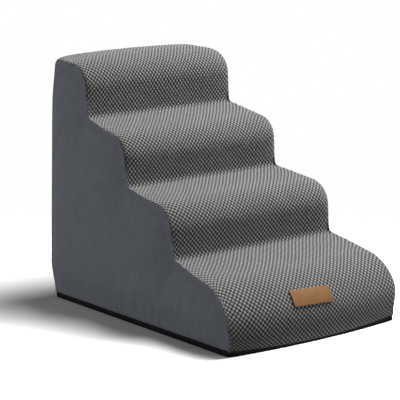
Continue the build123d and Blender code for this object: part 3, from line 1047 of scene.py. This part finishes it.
# %% Tapes
flange_width = 0.0115
flange_end = 0.198
foot_top = sum(lower_heights[:2]) / 2
foot = [edge for edge in lower_bm.edges if all(vert.co.z < foot_top for vert in edge.verts)]
for vert in extruded(lower_bm, foot):
    on_side = vert.co.y < half_length - corner_radius
    vert.co.x -= flange_width if on_side or vert.co.x > flange_end else 0
    vert.co.y -= 0 if on_side else flange_width
upper_tape = add_piece("upper_tape", upper_bm, tape)
lower_tape = add_piece("lower_tape", lower_bm, tape)
for piece, cad_node in ((upper_tape, "zipper_upper_tape"), (lower_tape, "zipper_lower_tape")):
    thick = piece.modifiers.new("tape_thickness", "SOLIDIFY")
    thick.thickness = tape_thickness
    thick.offset = 0
    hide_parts(cad_node)

# %% Nylon
# Nylon filament is smooth with a low gloss, and its colour is a little uneven from the melt.
melt_mm = 1.11
nylon, tree, shader = material("nylon_coil")
place = node(tree, "ShaderNodeTexCoord").outputs["Object"]
melt = node(tree, "ShaderNodeTexNoise", {"Vector": place, "Scale": per_metre(melt_mm), "Detail": 1.0})
ramp = node(tree, "ShaderNodeValToRGB", {"Fac": melt.outputs["Fac"]})
ramp.color_ramp.elements[0].color = linear("#121214")
ramp.color_ramp.elements[1].color = linear("#2c2d30")
tree.links.new(ramp.outputs["Color"], shader.inputs["Base Color"])
shader.inputs["Roughness"].default_value = 0.38
shader.inputs["IOR"].default_value = 1.53
print("melt differs every", melt_mm, "mm")

# %% Coils
coil_inset = 0.0016
coil_end_margin = 0.013
coil_pitch = 0.0015
loop_depth = 0.0011
loop_width = 0.0009
loop_rounding = 0.00028
upper_coil_heights = (0.0064, 0.0088)
lower_coil_heights = (0.0042, 0.0066)


def coil(bottom, top, shift):
    """Row of loops along the zip between two heights, the first one shifted along."""
    line = zip_line(coil_inset, coil_end_margin)
    bm = bmesh.new()
    along, target = 0.0, shift
    for start, end in zip(line, line[1:]):
        length = (end - start).length
        while target <= along + length:
            point = start.lerp(end, (target - along) / length)
            way = (end - start).normalized()
            turn = Matrix.Rotation(way.to_2d().angle_signed(Vector((0, 1))), 4, "Z")
            size = Matrix.Diagonal((loop_depth, loop_width, top - bottom, 1))
            spot = Matrix.Translation((point.x, point.y, (bottom + top) / 2))
            bmesh.ops.create_cube(bm, size=1, matrix=spot @ turn @ size)
            target += coil_pitch
        along += length
    bmesh.ops.bevel(bm, geom=bm.edges[:], offset=loop_rounding, offset_type="OFFSET", segments=1,
        profile=0.5, affect="EDGES", material=-1)
    return bm


upper_coil = add_piece("upper_coil", coil(*upper_coil_heights, 0.0), nylon)
lower_coil = add_piece("lower_coil", coil(*lower_coil_heights, coil_pitch / 2), nylon)
for piece, cad_node in ((upper_coil, "zipper_upper_coil"), (lower_coil, "zipper_lower_coil")):
    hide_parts(cad_node)
print("coil faces", len(upper_coil.data.polygons))

# %% [markdown]
# The slider, its pull and the stops are die-cast zinc with a black lacquer. The
# solids have the right shape, so they stay and only get this finish: a dark
# coat with a clear gloss, worn a little brighter in fine scratches.

# %% Lacquered zinc
scuff_mm = 3.33
zinc, tree, shader = material("lacquered_zinc")
place = node(tree, "ShaderNodeTexCoord").outputs["Object"]
scuffs = node(tree, "ShaderNodeTexNoise", {"Vector": place, "Scale": per_metre(scuff_mm), "Detail": 3.0})
ramp = node(tree, "ShaderNodeValToRGB", {"Fac": scuffs.outputs["Fac"]})
ramp.color_ramp.elements[0].position = 0.55
ramp.color_ramp.elements[0].color = linear("#17181a")
ramp.color_ramp.elements[1].position = 0.8
ramp.color_ramp.elements[1].color = linear("#2c2d30")
tree.links.new(ramp.outputs["Color"], shader.inputs["Base Color"])
shader.inputs["Metallic"].default_value = 0.6
shader.inputs["Roughness"].default_value = 0.32
shader.inputs["Coat Weight"].default_value = 0.3
for name in ("zipper_slider", "zipper_pull", "zipper_top_stops", "zipper_bottom_stop"):
    cad_object = bpy.data.objects[name]
    cad_object.data.materials.clear()
    cad_object.data.materials.append(zinc)
    print(name, "keeps its solid")

# %% [markdown]
# ## Patch on the lowest step
# A plain rectangle of microfibre leather is sewn on below the lowest nose. It
# is a grid laid on the strip's own surface, so it bends with it, its corners
# are rounded, and a thickness and a small bevel give it the cut edge.

# %% Lay the patch on the strip
patch_half_width = 0.0455
patch_half_length = 0.0165
patch_middle = -0.011
patch_rise = 0.038
patch_slant = 0.055
patch_gap = 0.0004
patch_thickness = 0.0014
patch_corner = 0.002
patch_height = 0.07


def patch_place(across_patch, along_patch):
    """Place on the strip of a point of the patch, measured from the patch's middle."""
    share = (patch_middle + across_patch) / side_x(patch_height)
    bow = base_bow * (1 - share**2)
    points, radii = section_points(crown_at(share), bow, front_hem_at(share), seam_lift)
    half_turn = half_turn_at(*points[:3])
    corner = Vector(points[1])
    way_in = Vector(direction(points[0], points[1]))
    way_out = Vector(direction(points[1], points[2]))
    centre = corner + (way_out - way_in).normalized() * radii[0] / cos(half_turn)
    start = corner - way_in * radii[0] * tan(half_turn)
    turn = (patch_rise + patch_half_length + along_patch - patch_slant * across_patch) / radii[0]
    arm = Matrix.Rotation(-turn, 2) @ (start - centre)
    point = centre + arm * (1 + patch_gap / radii[0])
    return share * side_x(point.y), point.x, point.y


patch_bm = bmesh.new()
bmesh.ops.create_grid(patch_bm, x_segments=44, y_segments=20, size=1)
for vert in patch_bm.verts:
    x, y = vert.co.x * patch_half_width, vert.co.y * patch_half_length
    vert.co = patch_place(*in_round_corner(x, y, patch_half_width, patch_half_length, patch_corner))
for vert, place in zip(patch_bm.verts, swollen(np.array([vert.co for vert in patch_bm.verts]))):
    vert.co = place
patch_bm.normal_update()
if sum(face.normal.y for face in patch_bm.faces) > 0:
    bmesh.ops.reverse_faces(patch_bm, faces=patch_bm.faces)
print("patch faces", len(patch_bm.faces))

# %% Leather
# Microfibre leather is matt, with a fine pebble grain and faint stains in its brown.
cut_rounding = 0.0003
pebble_mm = 1.61
stain_mm = 16.7
leather, tree, shader = material("microfibre_leather")
place = node(tree, "ShaderNodeTexCoord").outputs["Object"]
pebbles = node(tree, "ShaderNodeTexVoronoi", {"Vector": place, "Scale": per_metre(pebble_mm)},
    feature="SMOOTH_F1")
stain = node(tree, "ShaderNodeTexNoise", {"Vector": place, "Scale": per_metre(stain_mm), "Detail": 4.0})
ramp = node(tree, "ShaderNodeValToRGB", {"Fac": stain.outputs["Fac"]})
ramp.color_ramp.elements[0].position = 0.3
ramp.color_ramp.elements[0].color = linear("#644427")
ramp.color_ramp.elements[1].position = 0.75
ramp.color_ramp.elements[1].color = linear("#704e2c")
tree.links.new(ramp.outputs["Color"], shader.inputs["Base Color"])
bump = node(tree, "ShaderNodeBump",
    {"Height": pebbles.outputs["Distance"], "Strength": 0.35, "Distance": 0.0003})
tree.links.new(bump.outputs["Normal"], shader.inputs["Normal"])
shader.inputs["Roughness"].default_value = 0.6
shader.inputs["Specular IOR Level"].default_value = 0.15

patch = add_piece("leather_patch", patch_bm, leather)
thick = patch.modifiers.new("leather_thickness", "SOLIDIFY")
thick.thickness = patch_thickness
thick.offset = 1
edge = patch.modifiers.new("cut_edge", "BEVEL")
edge.width = cut_rounding
edge.segments = 2
edge.limit_method = "ANGLE"
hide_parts("label_patch")
print(patch.name, "is", patch_thickness * 1000, "mm thick")

# %% [markdown]
# ## Foam
# Four glued slabs of soft polyurethane foam fill the cover. Nothing of them
# shows while it is closed, so each is the solid's own mesh with its doubles
# merged, in an open-pored foam material. The tight side panels squeeze the
# slabs by three hundredths of their width.

# %% Foam
# Cut polyurethane foam is dull and full of open pores. Their hollows are painted darker than the light edges
# between them, as painted shade.
pore_mm = 2.86
foam, tree, shader = material("polyurethane_foam")
place = node(tree, "ShaderNodeTexCoord").outputs["Object"]
pores = node(tree, "ShaderNodeTexVoronoi", {"Vector": place, "Scale": per_metre(pore_mm)})
# Painted shade: the middle of each pore is darker than its rim.
ramp = node(tree, "ShaderNodeValToRGB", {"Fac": pores.outputs["Distance"]})
ramp.color_ramp.elements[0].color = linear("#b9ad8c")
ramp.color_ramp.elements[1].color = linear("#e6dcc0")
tree.links.new(ramp.outputs["Color"], shader.inputs["Base Color"])
bump = node(tree, "ShaderNodeBump", {"Height": pores.outputs["Distance"], "Strength": 0.6, "Distance": 0.001})
tree.links.new(bump.outputs["Normal"], shader.inputs["Normal"])
shader.inputs["Roughness"].default_value = 0.95
print("pores", pore_mm, "mm wide")

# %% Foam slabs
merge_distance = 0.00001
for step in range(1, 5):
    foam_bm = bmesh.new()
    foam_bm.from_mesh(bpy.data.objects[f"foam_slab_{step}"].data)
    bmesh.ops.remove_doubles(foam_bm, verts=foam_bm.verts, dist=merge_distance)
    bmesh.ops.scale(foam_bm, vec=(foam_squeeze, 1, 1), verts=foam_bm.verts)
    slab = add_piece(f"foam_{step}", foam_bm, foam, smooth=False)
    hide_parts(f"foam_slab_{step}")
